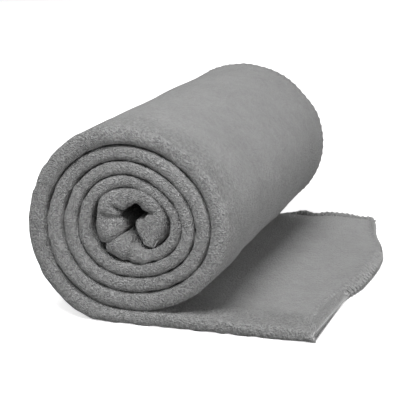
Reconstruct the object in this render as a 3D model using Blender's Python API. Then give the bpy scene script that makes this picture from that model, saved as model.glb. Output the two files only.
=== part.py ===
"""Fleece throw, folded in quarters across its width and rolled up from one short edge.

One sheet of brushed fleece makes four plies.  The folded strip winds up from a crumpled
core, and its last stretch lies out flat beside the roll.  Overlocked thread binds the
sheet's four raw edges.

Frame: the roll's axis runs along Y, the loose end points along +X, and +Z is up.
The origin is on the flat underside, below the roll's axis, half way along it.
Units are metres.
"""

import math

import bmesh
import bpy
import numpy as np
from mathutils import Matrix

# ---- driving dimensions --------------------------------------------------------------
FOLDED_WIDTH = 0.317        # length of the roll along Y, a quarter of the sheet's width
ROLL_RADIUS = 0.0815        # outer face to axis where the last wrap comes down to the floor
SETTLING = 0.0085           # the roll's weight flattens its underside, lowering the axis this far
WRAP_LOOSE = 0.0179         # spacing of the wraps at the outside of the roll
WRAP_TIGHT = 0.0085         # spacing of the wraps that the inside tends to
WRAP_EASING = 0.525         # how fast the spacing tightens, per turn
OVAL = 0.0023               # the roll stands this much wider and lower than round
TREFOIL = 0.0012            # three-sided unevenness left by hand rolling
DRIFT = (0.0005, 0.0005)    # how far each turn inward sits off the one outside it, X and Z
CORE_RADIUS = 0.0258        # middle of the strip where the wraps turn into the core

PLY_GAP = 0.0003            # between two plies of the folded sheet
TURN_GAP = 0.0004           # between two turns of the roll
PART_GAP = 0.0003           # between two separate pieces that touch
FLOOR_FILLET = 0.0015       # height over which the last wrap eases onto the floor

HINGE_INSET = 0.0215        # the line the loose end lifts about is this far inside the roll's side
TAIL_NEAR_LENGTH = 0.0745   # loose end, from that line: to its near corner, middle and far corner
TAIL_MIDDLE_LENGTH = 0.0875
TAIL_FAR_LENGTH = 0.0615
TAIL_END_THINNING = 0.80    # thickness at the free edge, as a share of that at the hinge

FAR_FOLD_INSET = 0.0040     # the far fold stops this far short of the two selvedges
BINDING = 0.0016            # width of the overlocked thread along each raw edge

AXIS_HEIGHT = ROLL_RADIUS - SETTLING
HINGE_X = ROLL_RADIUS - HINGE_INSET

# ---- resolution ----------------------------------------------------------------------
STATIONS_PER_TURN = 18
STATIONS_PER_CORE_SPAN = 2
BASE_STATIONS = 3           # on the flat stretch between the hinge and the roll
TAIL_STATIONS = 6
TAIL_RUN_POINTS = 7         # across the width of each ply of the loose end
TIGHT_FOLD_STEPS = 3        # facets round each of the two tight folds
OUTER_FOLD_STEPS = 6        # facets round the fold that wraps the others

# The middle line of the strip through the crumpled core, from the wraps to its first
# edge: turns past the last wrap, radius as a share of a tight winding's, and thickness
# as a share of the last wrap's.  The first edge is tucked in and swells.
CORE_ROUTE = (
    (0.07, 1.00, 1.00),
    (0.15, 0.94, 1.00),
    (0.24, 0.87, 1.10),
    (0.32, 0.86, 1.10),
    (0.40, 0.88, 1.10),
    (0.48, 0.90, 1.10),
    (0.57, 0.92, 1.10),
    (0.66, 0.94, 1.00),
    (0.74, 0.87, 1.15),
    (0.82, 0.66, 1.50),
    (0.93, 0.56, 1.60),
    (1.00, 0.84, 1.30),
)

FLEECE = (0.300, 0.300, 0.300)
THREAD = (0.360, 0.360, 0.360)


# ---- the winding: where the strip's outer and inner faces run, seen along Y ------------
def wrap_radius(turn):
    """Distance of the strip's outer face from the roll's axis.

    turn is -1 where the last wrap meets the floor and grows inward.  The spacing of the
    wraps falls exponentially from WRAP_LOOSE towards WRAP_TIGHT.
    """
    wound = turn + 1.0
    eased = (WRAP_LOOSE - WRAP_TIGHT) / WRAP_EASING * (1.0 - np.exp(-WRAP_EASING * wound))
    angle = 2.0 * math.pi * turn
    uneven = OVAL * np.cos(2.0 * angle) + TREFOIL * np.cos(3.0 * angle + math.radians(53.0))
    return ROLL_RADIUS - WRAP_TIGHT * wound - eased - uneven


def middle_of_turn(turn):
    """X and Z that the strip's outer face winds round at this turn."""
    return np.array([0.0, AXIS_HEIGHT]) + (turn + 1.0) * np.array(DRIFT)


def polar_point(turn, radius):
    """X and Z at this radius, with turn 0 straight below the middle and 0.25 towards -X."""
    angle = 2.0 * math.pi * turn
    return middle_of_turn(turn) - radius * np.array([math.sin(angle), math.cos(angle)])


def ease_onto_floor(height):
    """A height that never goes below the floor, with a fillet where it meets it."""
    if height >= FLOOR_FILLET:
        return height
    if height <= -FLOOR_FILLET:
        return 0.0
    return (height + FLOOR_FILLET) ** 2 / (4.0 * FLOOR_FILLET)


def flat_thickness():
    """Thickness of the strip where it lies flat, up to the lowest point of the wrap above."""
    heights = [polar_point(turn, wrap_radius(turn))[1] for turn in np.linspace(-0.12, 0.12, 49)]
    return min(heights) - TURN_GAP


def wrap_count():
    """Number of stations round the wraps until the strip's middle reaches CORE_RADIUS."""
    count = STATIONS_PER_TURN
    while True:
        turn = -1.0 + (count + 1) / STATIONS_PER_TURN
        middle = 0.5 * (wrap_radius(turn) + wrap_radius(turn + 1.0))
        if middle < CORE_RADIUS:
            return count
        count += 1


def base_stations():
    """Outer and inner points along the flat stretch from the hinge to below the axis."""
    top = flat_thickness()
    places = np.linspace(HINGE_X - 0.5 * PART_GAP, 0.0, BASE_STATIONS + 1)[:-1]
    return [(np.array([x, 0.0]), np.array([x, top])) for x in places]


def wrap_stations():
    """Outer and inner points of the strip round the roll, from below the axis inward."""
    stations = []
    for step in range(wrap_count() + 1):
        turn = -1.0 + step / STATIONS_PER_TURN
        outer = polar_point(turn, wrap_radius(turn))
        inner = polar_point(turn + 1.0, wrap_radius(turn + 1.0) + TURN_GAP)
        if turn < -0.5:
            outer[1] = ease_onto_floor(outer[1])
        if step == 0:
            inner[1] = flat_thickness()
        stations.append((outer, inner))
    return stations


def spline(points, per_span):
    """Catmull-Rom curve from the second point to the last."""
    points = np.asarray(points, dtype=float)
    padded = np.vstack([points, 2.0 * points[-1] - points[-2]])
    curve = []
    for index in range(1, len(points) - 1):
        a, b, c, d = padded[index - 1:index + 3]
        for step in range(per_span):
            t = step / per_span
            curve.append(0.5 * (2.0 * b + (c - a) * t + (2.0 * a - 5.0 * b + 4.0 * c - d) * t**2
                                + (3.0 * b - a - 3.0 * c + d) * t**3))
    curve.append(points[-1])
    return np.array(curve)


def stack_at(station):
    """Thickness of the folded strip at a station."""
    return float(np.linalg.norm(station[1] - station[0]))


def core_stations(wraps):
    """Outer and inner points of the strip through the crumpled core."""
    last_turn = -1.0 + (len(wraps) - 1) / STATIONS_PER_TURN
    before, last = (0.5 * (outer + inner) for outer, inner in wraps[-2:])
    thickness = stack_at(wraps[-1])
    route = [(*before, 1.0), (*last, 1.0)]
    for onward, radius_share, thickness_share in CORE_ROUTE:
        turn = last_turn + onward
        tight = 0.5 * (wrap_radius(turn) + wrap_radius(turn + 1.0))
        route.append((*polar_point(turn, radius_share * tight), thickness_share))
    curve = spline(route, STATIONS_PER_CORE_SPAN)
    middles = curve[:, :2]
    ahead = np.gradient(middles, axis=0)
    ahead /= np.linalg.norm(ahead, axis=1)[:, None]
    inward = np.stack([ahead[:, 1], -ahead[:, 0]], axis=1)
    half = 0.5 * thickness * curve[:, 2:3]
    return list(zip(middles - half * inward, middles + half * inward))[1:]


def roll_stations():
    """Every station of the rolled part, from the hinge to the first edge in the core."""
    wraps = wrap_stations()
    return base_stations() + wraps + core_stations(wraps)


# ---- the folded section: Y across the strip, height from its outer face ---------------
def ply_thickness(stack):
    """Thickness of one ply where four of them and three gaps make up this stack."""
    return (stack - 3.0 * PLY_GAP) / 4.0


def fold_arc(centre_y, height, radius, side, steps):
    """Points round a half circle that bulges towards side * Y, from its top to its bottom."""
    angles = np.linspace(0.5 * math.pi, -0.5 * math.pi, steps + 1)
    return [(centre_y + side * radius * math.cos(a), height + radius * math.sin(a)) for a in angles]


def sheet_middle(stack, run_points):
    """Middle line of the folded sheet in one section, from one selvedge to the other.

    The sheet runs from the inner selvedge round a tight near fold, a tight far fold and
    the near fold that wraps the first one, to the outer selvedge on the roll's outside.
    """
    ply = ply_thickness(stack)
    pitch = ply + PLY_GAP
    near = -0.5 * FOLDED_WIDTH
    far = 0.5 * FOLDED_WIDTH
    outermost, second, third, innermost = (0.5 * ply + pitch * k for k in range(4))
    selvedge = far - BINDING - PART_GAP
    tight = 0.5 * pitch
    wide = 1.5 * pitch
    near_centre = near + 0.5 * ply + wide
    far_centre = far - FAR_FOLD_INSET - 0.5 * ply - tight
    near_tight = fold_arc(near_centre, 0.5 * (second + third), tight, -1, TIGHT_FOLD_STEPS)
    far_tight = fold_arc(far_centre, 0.5 * (third + innermost), tight, 1, TIGHT_FOLD_STEPS)
    wrapping = fold_arc(near_centre, 0.5 * (outermost + innermost), wide, -1, OUTER_FOLD_STEPS)
    groups = [[(selvedge, second)], near_tight[::-1], far_tight[::-1], wrapping, [(selvedge, outermost)]]
    line = groups[0]
    for group in groups[1:]:
        line = line + between(line[-1], group[0], run_points) + group
    return np.array(line)


def between(start, end, count):
    """Evenly spaced points between two points, without either."""
    shares = [k / (count + 1) for k in range(1, count + 1)]
    return [tuple(a + (b - a) * s for a, b in zip(start, end)) for s in shares]


def band_sides(middle, thickness):
    """The two sides of a band of this thickness about its middle line."""
    ahead = np.gradient(middle, axis=0)
    ahead[0] = middle[1] - middle[0]
    ahead[-1] = middle[-1] - middle[-2]
    ahead /= np.linalg.norm(ahead, axis=1)[:, None]
    across = np.stack([-ahead[:, 1], ahead[:, 0]], axis=1)
    return middle + 0.5 * thickness * across, middle - 0.5 * thickness * across


def sheet_section(stack, run_points=0):
    """The two sides of the folded sheet for a stack of this thickness."""
    return band_sides(sheet_middle(stack, run_points), ply_thickness(stack))


def binding_section(stack, layer):
    """The two sides of the thread that binds one selvedge: layer 0 is the outermost ply's."""
    ply = ply_thickness(stack)
    height = 0.5 * ply + layer * (ply + PLY_GAP)
    far = 0.5 * FOLDED_WIDTH
    middle = np.array([(far - BINDING, height), (far, height)])
    return band_sides(middle, ply)


# ---- solids --------------------------------------------------------------------------
def place(section, station):
    """A section's points carried to a station, as X, Y and Z."""
    outer, inner = station
    inward = (inner - outer) / np.linalg.norm(inner - outer)
    points = []
    for y, height in section:
        x, z = outer + height * inward
        points.append((float(x), float(y), float(z)))
    return points


def band_solid(name, rings, material, parent):
    """A closed solid through rings of points, each ring being the two sides of a band."""
    mesh = bpy.data.meshes.new(name)
    shape = bmesh.new()
    grid = [[[shape.verts.new(point) for point in side] for side in ring] for ring in rings]
    last = len(grid[0][0]) - 1
    for left, right in (grid[0], grid[-1]):
        for k in range(last):
            shape.faces.new((left[k], left[k + 1], right[k + 1], right[k]))
    for here, there in zip(grid[:-1], grid[1:]):
        for side in (0, 1):
            for k in range(last):
                shape.faces.new((here[side][k], here[side][k + 1], there[side][k + 1], there[side][k]))
        for k in (0, last):
            shape.faces.new((here[0][k], here[1][k], there[1][k], there[0][k]))
    bmesh.ops.recalc_face_normals(shape, faces=shape.faces)
    shape.to_mesh(mesh)
    shape.free()
    mesh.transform(Matrix.Translation(-parent.location))
    mesh.materials.append(material)
    mesh.shade_smooth()
    mesh.set_sharp_from_angle(angle=math.radians(40.0))
    solid = bpy.data.objects.new(name, mesh)
    solid.parent = parent
    bpy.context.collection.objects.link(solid)


def rolled_rings(section_of, stations):
    """Rings of a section carried through stations, each drawn for the stack it finds there."""
    rings = []
    for station in stations:
        sides = section_of(stack_at(station))
        rings.append([place(side, station) for side in sides])
    return rings


def tail_reach(y):
    """X of the loose end's free edge at this Y: one arc through its corners and middle."""
    share = y / FOLDED_WIDTH + 0.5
    bow = TAIL_MIDDLE_LENGTH - 0.5 * (TAIL_NEAR_LENGTH + TAIL_FAR_LENGTH)
    straight = TAIL_NEAR_LENGTH + (TAIL_FAR_LENGTH - TAIL_NEAR_LENGTH) * share
    return HINGE_X + straight + 4.0 * bow * share * (1.0 - share)


def tail_stack(share):
    """Thickness of the loose end, from the hinge at 0 to the free edge at 1."""
    return flat_thickness() * (1.0 - (1.0 - TAIL_END_THINNING) * share)


def tail_rings(section_of):
    """Rings of a section carried along the loose end, up to the thread on its free edge."""
    start = HINGE_X + 0.5 * PART_GAP
    rings = []
    for share in np.linspace(0.0, 1.0, TAIL_STATIONS):
        ring = []
        for side in section_of(tail_stack(share)):
            ends = [tail_reach(y) - BINDING - PART_GAP for y, _ in side]
            ring.append([(start + (end - start) * share, y, z) for end, (y, z) in zip(ends, side)])
        rings.append(ring)
    return rings


def free_end_rings():
    """Rings of the thread on the loose end's free edge, which follows every fold."""
    sides = sheet_section(tail_stack(1.0), TAIL_RUN_POINTS)
    return [[[(tail_reach(y) - back, y, z) for y, z in side] for side in sides]
            for back in (BINDING, 0.0)]


def core_end_rings(stations):
    """Rings of the thread on the edge that starts the roll, which follows every fold."""
    before, last = stations[-2:]
    ahead = sum(last) - sum(before)
    ahead /= np.linalg.norm(ahead)
    steps = [[point + ahead * reach for point in last] for reach in (PART_GAP, PART_GAP + BINDING)]
    return rolled_rings(sheet_section, steps)


# ---- the object ----------------------------------------------------------------------
def finish(name, colour, roughness):
    """A plain cloth or thread material."""
    material = bpy.data.materials.new(name)
    material.use_nodes = True
    shader = material.node_tree.nodes["Principled BSDF"]
    shader.inputs["Base Color"].default_value = (*colour, 1.0)
    shader.inputs["Roughness"].default_value = roughness
    shader.inputs["Metallic"].default_value = 0.0
    return material


def frame_point(name, place_at):
    """An empty that carries the pieces of one body."""
    point = bpy.data.objects.new(name, None)
    point.location = place_at
    bpy.context.collection.objects.link(point)
    return point


def build():
    """Model every piece of the throw."""
    for old in list(bpy.data.objects):
        bpy.data.objects.remove(old)
    fleece = finish("grey_fleece", FLEECE, 0.95)
    thread = finish("overlock_thread", THREAD, 0.75)
    roll = frame_point("roll", (0.0, 0.0, 0.0))
    tail = frame_point("tail", (HINGE_X, 0.0, flat_thickness()))

    stations = roll_stations()
    band_solid("fleece_roll", rolled_rings(sheet_section, stations), fleece, roll)
    band_solid("fleece_tail", tail_rings(lambda stack: sheet_section(stack, TAIL_RUN_POINTS)), fleece, tail)
    for layer, edge in enumerate(("outer_selvedge_stitch", "inner_selvedge_stitch")):
        def section_of(stack, layer=layer):
            return binding_section(stack, layer)
        band_solid(edge + "_roll", rolled_rings(section_of, stations), thread, roll)
        band_solid(edge + "_tail", tail_rings(section_of), thread, tail)
    band_solid("free_end_stitch", free_end_rings(), thread, tail)
    band_solid("core_end_stitch", core_end_rings(stations), thread, roll)


build()
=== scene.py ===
"""Grey fleece throw: one sheet folded in quarters, rolled up, its last stretch lying flat.

The sheet is one continuous surface that is carried along the winding.  Overlocked thread
binds its four raw edges.  Frame: the roll's axis runs along Y, the loose end points along
+X, +Z is up, and the origin is on the floor below the roll's axis.  Units are metres.
"""

import logging
import math
from dataclasses import dataclass
from enum import Enum
from typing import NamedTuple, Sequence

import bpy
import numpy as np
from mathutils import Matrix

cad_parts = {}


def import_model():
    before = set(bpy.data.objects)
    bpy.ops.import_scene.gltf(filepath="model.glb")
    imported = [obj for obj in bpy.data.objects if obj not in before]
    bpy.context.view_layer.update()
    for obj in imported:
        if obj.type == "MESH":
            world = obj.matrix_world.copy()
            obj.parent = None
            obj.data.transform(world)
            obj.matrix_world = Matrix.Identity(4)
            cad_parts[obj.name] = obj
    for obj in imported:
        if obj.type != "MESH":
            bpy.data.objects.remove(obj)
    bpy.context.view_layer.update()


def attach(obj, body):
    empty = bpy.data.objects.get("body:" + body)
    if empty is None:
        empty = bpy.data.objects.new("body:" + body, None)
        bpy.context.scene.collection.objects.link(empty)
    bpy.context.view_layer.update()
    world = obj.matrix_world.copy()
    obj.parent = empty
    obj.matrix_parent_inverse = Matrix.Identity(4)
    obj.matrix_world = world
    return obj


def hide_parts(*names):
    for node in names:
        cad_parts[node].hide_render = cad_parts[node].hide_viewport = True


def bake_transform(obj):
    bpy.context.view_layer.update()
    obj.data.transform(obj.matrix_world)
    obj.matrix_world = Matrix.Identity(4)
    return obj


LOG = logging.getLogger("fleece_throw")

Array = np.ndarray

NOMINAL_PLY = 0.0023
NOMINAL_PITCH = 0.0026
"""Ply and pitch of plies that the columns' spacing is worked out for, in metres."""

LOOP_GAP = 0.004
"""Distance that the loop parameter adds where it turns from one face to the other."""


# ---- driving dimensions --------------------------------------------------------------
@dataclass(frozen=True)
class ThrowDesign:
    """Sizes of the folded and rolled throw, in metres."""

    sheet_width: float = 1.270
    sheet_length: float = 1.524
    folded_width: float = 0.317
    roll_radius: float = 0.0815
    settling: float = 0.0085
    wrap_loose: float = 0.0179
    wrap_tight: float = 0.0085
    wrap_easing: float = 0.525
    oval: float = 0.0023
    trefoil: float = 0.0012
    drift: tuple[float, float] = (0.0005, 0.0005)
    core_radius: float = 0.0258
    ply_gap: float = 0.0003
    turn_gap: float = 0.0002
    floor_fillet: float = 0.0015
    hinge_inset: float = 0.0215
    tail_end_thinning: float = 0.80
    far_fold_inset: float = 0.0055
    edge_inset: float = 0.0007

    @property
    def axis_height(self) -> float:
        """Height of the roll's axis above the floor."""
        return self.roll_radius - self.settling

    @property
    def hinge_x(self) -> float:
        """X of the line that the loose end lifts about."""
        return self.roll_radius - self.hinge_inset

    @property
    def near(self) -> float:
        """Y of the near end of the roll."""
        return -0.5 * self.folded_width

    @property
    def far(self) -> float:
        """Y of the far end of the roll."""
        return 0.5 * self.folded_width


CORE_ROUTE: tuple[tuple[float, float, float, float], ...] = (
    (0.0068, -0.0270, 0.0088, -0.0150),
    (-0.0075, -0.0252, -0.0004, -0.0074),
    (-0.0208, -0.0186, -0.0022, -0.0044),
    (-0.0260, -0.0060, -0.0038, -0.0012),
    (-0.0258, 0.0046, -0.0050, 0.0058),
    (-0.0203, 0.0210, -0.0100, 0.0132),
    (-0.0005, 0.0298, -0.0038, 0.0112),
    (0.0160, 0.0268, 0.0050, 0.0170),
    (0.0262, 0.0172, 0.0086, 0.0122),
    (0.0290, 0.0085, 0.0102, 0.0062),
    (0.0290, 0.0000, 0.0034, 0.0040),
    (0.0254, -0.0084, 0.0028, -0.0024),
    (0.0196, -0.0146, 0.0096, -0.0116),
)
"""Crumpled core, bottom to left to top to right: X and Z of the outer face, then of the
inner face, from the roll's axis.  It is loose, so it swells far beyond a tight winding."""


class Crease(NamedTuple):
    """A dent across the strip where the crumpled core buckles."""

    route: float        # place along CORE_ROUTE
    depth: float        # metres
    reach: float        # share of the thickness it crosses, from the inner face
    width: float        # metres


CORE_CREASES: tuple[Crease, ...] = (
    Crease(1.55, 0.0034, 0.80, 0.0020),
    Crease(3.15, 0.0030, 0.98, 0.0018),
    Crease(5.05, 0.0034, 0.70, 0.0022),
    Crease(7.20, 0.0018, 0.60, 0.0020),
    Crease(9.40, 0.0034, 0.45, 0.0020),
)

FREE_EDGE: tuple[tuple[float, float], ...] = (
    (-0.10, 0.0790),
    (0.00, 0.0764),
    (0.07, 0.0732),
    (0.16, 0.0714),
    (0.28, 0.0752),
    (0.42, 0.0850),
    (0.60, 0.0878),
    (0.74, 0.0832),
    (0.86, 0.0716),
    (1.00, 0.0618),
    (1.10, 0.0560),
)
"""Length of the loose end at shares of the width from the near end: it was laid down askew."""


# ---- smooth noise --------------------------------------------------------------------
class SmoothNoise:
    """Value noise on a wrapped lattice, blended with a smooth step between its corners."""

    SIZE = 32

    def __init__(self, seed: int) -> None:
        """Fills the lattice.

        Args:
            seed: Makes the lattice repeatable.
        """
        self.lattice = np.random.default_rng(seed).uniform(-1.0, 1.0, (self.SIZE,) * 3)

    def __call__(self, points: Array, wavelength: float | Array) -> Array:
        """Noise from -1 to 1 at each point.

        Args:
            points: Positions, the last axis being X, Y and Z.
            wavelength: Size of one lattice cell, in metres.

        Returns:
            One value for each point.
        """
        scaled = points / np.asarray(wavelength)
        cell = np.floor(scaled).astype(int)
        inside = scaled - cell
        inside = inside * inside * (3.0 - 2.0 * inside)
        total = np.zeros(points.shape[:-1])
        for corner in np.ndindex(2, 2, 2):
            index = (cell + np.array(corner)) % self.SIZE
            share = np.where(np.array(corner) == 1, inside, 1.0 - inside).prod(axis=-1)
            total += share * self.lattice[index[..., 0], index[..., 1], index[..., 2]]
        return total


def smooth_step(value: Array | float, low: float, high: float) -> Array:
    """0 below low, 1 above high, and a smooth cubic between them."""
    share = np.clip((np.asarray(value, float) - low) / (high - low), 0.0, 1.0)
    return share * share * (3.0 - 2.0 * share)


# ---- the winding ---------------------------------------------------------------------
class PathPoint(NamedTuple):
    """The strip at some distances along it, seen along Y: the outer face's X and Z, the
    unit vectors towards the inner face, and the thickness of the four plies."""

    outer: Array
    inward: Array
    stack: Array


class Winding:
    """The strip's route from its free edge, under the roll and round it to the core.

    Distance along the strip is 0 at the line it lifts about, negative towards the free
    edge and positive towards the core.
    """

    SAMPLES_PER_TURN = 720
    SAMPLES_PER_CORE_SPAN = 40

    def __init__(self, design: ThrowDesign) -> None:
        """Samples the route.

        Args:
            design: Sizes of the throw.
        """
        self.design = design
        self.flat_thickness = self._flat_thickness()
        self.tail_length = float(np.mean([length for _, length in FREE_EDGE]))
        outer, inner = self._route()
        middle = 0.5 * (outer + inner)
        steps = np.linalg.norm(np.diff(middle, axis=0), axis=1)
        self.distance = np.concatenate([[0.0], np.cumsum(steps)]) - self.tail_length
        self.outer = outer
        self.stack = np.linalg.norm(inner - outer, axis=1)
        self.inward = (inner - outer) / self.stack[:, None]
        self.start = float(self.distance[0])
        self.end = float(self.distance[-1])
        self.first_turn_end = self._distance_of_turn(0.05)
        self.crease_at = [
            float(self.distance[self.core_samples + int(c.route * self.SAMPLES_PER_CORE_SPAN)])
            for c in CORE_CREASES
        ]
        edge = catmull_rom(np.array([(*FREE_EDGE[0],)] + [*FREE_EDGE]), 20)
        self.edge_share, self.edge_length = edge[:, 0], edge[:, 1]
        LOG.info("winding: %.3f m of folded strip", self.end - self.start)

    def wrap_radius(self, turn: Array) -> Array:
        """Distance of the outer face from the axis; its fall eases exponentially inward.

        Args:
            turn: -1 where the last wrap meets the floor, growing inward.

        Returns:
            Radii in metres.
        """
        d = self.design
        wound = turn + 1.0
        eased = (d.wrap_loose - d.wrap_tight) / d.wrap_easing * (1.0 - np.exp(-d.wrap_easing * wound))
        angle = 2.0 * math.pi * turn
        uneven = d.oval * np.cos(2.0 * angle) + d.trefoil * np.cos(3.0 * angle + math.radians(53.0))
        return d.roll_radius - d.wrap_tight * wound - eased - uneven

    def polar(self, turn: Array, radius: Array) -> Array:
        """Polar to X and Z: turn 0 is straight below the middle and 0.25 towards -X, and the
        middle drifts a little with each turn.

        Args:
            turn: Turns, growing inward.
            radius: Distance from the middle.

        Returns:
            X and Z.
        """
        d = self.design
        turn = np.asarray(turn, float)
        wound = turn + 1.0
        angle = 2.0 * math.pi * turn
        x = wound * d.drift[0] - radius * np.sin(angle)
        z = d.axis_height + wound * d.drift[1] - radius * np.cos(angle)
        return np.stack([x, z], axis=-1)

    def _flat_thickness(self) -> float:
        """Thickness of the flat strip, which fits the room below the second wrap."""
        turns = np.linspace(-0.12, 0.12, 49)
        return float(self.polar(turns, self.wrap_radius(turns))[:, 1].min() - self.design.turn_gap)

    def _last_wrap_turn(self) -> float:
        """Turn at which the wraps' middle line comes down to the core's radius."""
        turns = np.linspace(0.0, 6.0, 6001)
        middle = 0.5 * (self.wrap_radius(turns) + self.wrap_radius(turns + 1.0))
        return float(turns[np.argmax(middle < self.design.core_radius)])

    def _distance_of_turn(self, turn: float) -> float:
        """Distance along the strip of a turn of the wraps."""
        count = self.flat_samples + int((turn + 1.0) * self.SAMPLES_PER_TURN)
        return float(self.distance[count])

    def _route(self) -> tuple[Array, Array]:
        """The strip from its free edge to the core's edge: a flat stretch that thins towards
        the edge, the spiral with its foot eased onto the floor by a parabola, and the core.

        Returns:
            Points of the outer face and of the inner face.
        """
        d = self.design
        flat_x = np.linspace(d.hinge_x + self.tail_length, 0.0, 360)[:-1]
        self.flat_samples = len(flat_x)
        share = np.clip((flat_x - d.hinge_x) / self.tail_length, 0.0, 1.0)
        top = self.flat_thickness * (1.0 - (1.0 - d.tail_end_thinning) * share)
        flat_outer = np.stack([flat_x, np.zeros_like(flat_x)], axis=1)
        flat_inner = np.stack([flat_x, top], axis=1)

        last = self._last_wrap_turn()
        turns = np.linspace(-1.0, last, int((last + 1.0) * self.SAMPLES_PER_TURN))
        outer = self.polar(turns, self.wrap_radius(turns))
        inner = self.polar(turns + 1.0, self.wrap_radius(turns + 1.0) + d.turn_gap)
        fillet = d.floor_fillet
        height = outer[:, 1]
        eased = np.where(height <= -fillet, 0.0, (height + fillet) ** 2 / (4.0 * fillet))
        near_floor = (turns < -0.5) & (height < fillet)
        outer[:, 1] = np.where(near_floor, eased, height)
        core_outer, core_inner = self._core(outer, inner)
        self.core_samples = self.flat_samples + len(outer)
        return (
            np.concatenate([flat_outer, outer, core_outer]),
            np.concatenate([flat_inner, inner, core_inner]),
        )

    def _core(self, outer: Array, inner: Array) -> tuple[Array, Array]:
        """The crumpled core, Catmull-Rom curves through its route's outer and inner points.

        Args:
            outer: The wraps' outer face, which the core's carries on.
            inner: The wraps' inner face.

        Returns:
            Points of the core's outer face and of its inner face.
        """
        back = self.SAMPLES_PER_TURN // 18
        axis = np.array([0.0, self.design.axis_height])
        wraps = [np.concatenate([outer[-k], inner[-k]]) for k in (1 + back, 1)]
        core = np.array(CORE_ROUTE) + np.tile(axis, 2)
        curve = catmull_rom(np.vstack([wraps, core]), self.SAMPLES_PER_CORE_SPAN)
        return curve[1:, :2], curve[1:, 2:]

    def at(self, distance: Array) -> PathPoint:
        """The strip at these distances along it.

        Args:
            distance: Metres from the line it lifts about.

        Returns:
            Outer points, unit vectors towards the inner face, and thickness.
        """
        def look_up(values: Array) -> Array:
            """Values at the distances asked for."""
            return np.interp(distance, self.distance, values)

        outer = np.stack([look_up(self.outer[:, 0]), look_up(self.outer[:, 1])], axis=-1)
        inward = np.stack([look_up(self.inward[:, 0]), look_up(self.inward[:, 1])], axis=-1)
        inward /= np.linalg.norm(inward, axis=-1, keepdims=True)
        return PathPoint(outer, inward, look_up(self.stack))

    def reach(self, y: Array) -> Array:
        """Length of the loose end at this Y, along the curve through FREE_EDGE."""
        return np.interp(y / self.design.folded_width + 0.5, self.edge_share, self.edge_length)


def catmull_rom(points: Array, per_span: int) -> Array:
    """A Catmull-Rom curve from the second point to the last.

    Args:
        points: Points with any number of coordinates.
        per_span: Samples on each span.

    Returns:
        The sampled curve.
    """
    padded = np.vstack([points, 2.0 * points[-1] - points[-2]])
    a, b, c, d = (padded[k:k + len(points) - 2, None, :] for k in range(4))
    t = (np.arange(per_span) / per_span)[None, :, None]
    spans = 0.5 * (2.0 * b + (c - a) * t + (2.0 * a - 5.0 * b + 4.0 * c - d) * t**2
                   + (3.0 * b - a - 3.0 * c + d) * t**3)
    return np.vstack([spans.reshape(-1, points.shape[1]), points[-1:]])


# ---- the folded section --------------------------------------------------------------
class Columns(NamedTuple):
    """Columns of the folded section; positions are linear in the ply and the pitch."""

    y: Array            # constant part, then per ply and per pitch: shape (n, 3)
    height: Array       # the same for the height above the outer face
    normal: Array       # unit normal in the section, pointing out of the cloth: (n, 2)
    across: Array       # distance across the unfolded sheet, for the cloth's grain
    loop: Array         # parameter round the section's closed loop
    visible_side: Array  # 1 on the side that the folds turn outward
    middle: int         # column at the middle of the wrapping fold


@dataclass(frozen=True)
class Spacing:
    """Column spacing of one zone of the sheet, in metres."""

    fold: float = 0.0013
    outermost: float = 0.0060
    innermost: float = 0.0600
    hidden: float = 0.0900
    selvedge: float = 0.0030
    keep: float = 0.0060


def graded(length: float, first: float, last: float, coarse: float, keep: float) -> Array:
    """Shares of a length, finely spaced at its ends and coarsely between them.

    Args:
        length: The length in metres.
        first: Spacing at its start.
        last: Spacing at its end.
        coarse: Largest spacing.
        keep: Distance over which an end's spacing is held before it grows.

    Returns:
        Shares from 0 to 1.
    """
    x = np.linspace(0.0, length, 2001)
    near_start = first + 1.4 * np.maximum(0.0, x - keep)
    near_end = last + 1.4 * np.maximum(0.0, length - x - keep)
    spacing = np.minimum(np.minimum(near_start, near_end), coarse)
    count = np.concatenate([[0.0], np.cumsum(0.5 * (1 / spacing[1:] + 1 / spacing[:-1]) * np.diff(x))])
    steps = max(1, int(round(count[-1])))
    return np.interp(np.linspace(0.0, count[-1], steps + 1), count, x) / length


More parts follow.
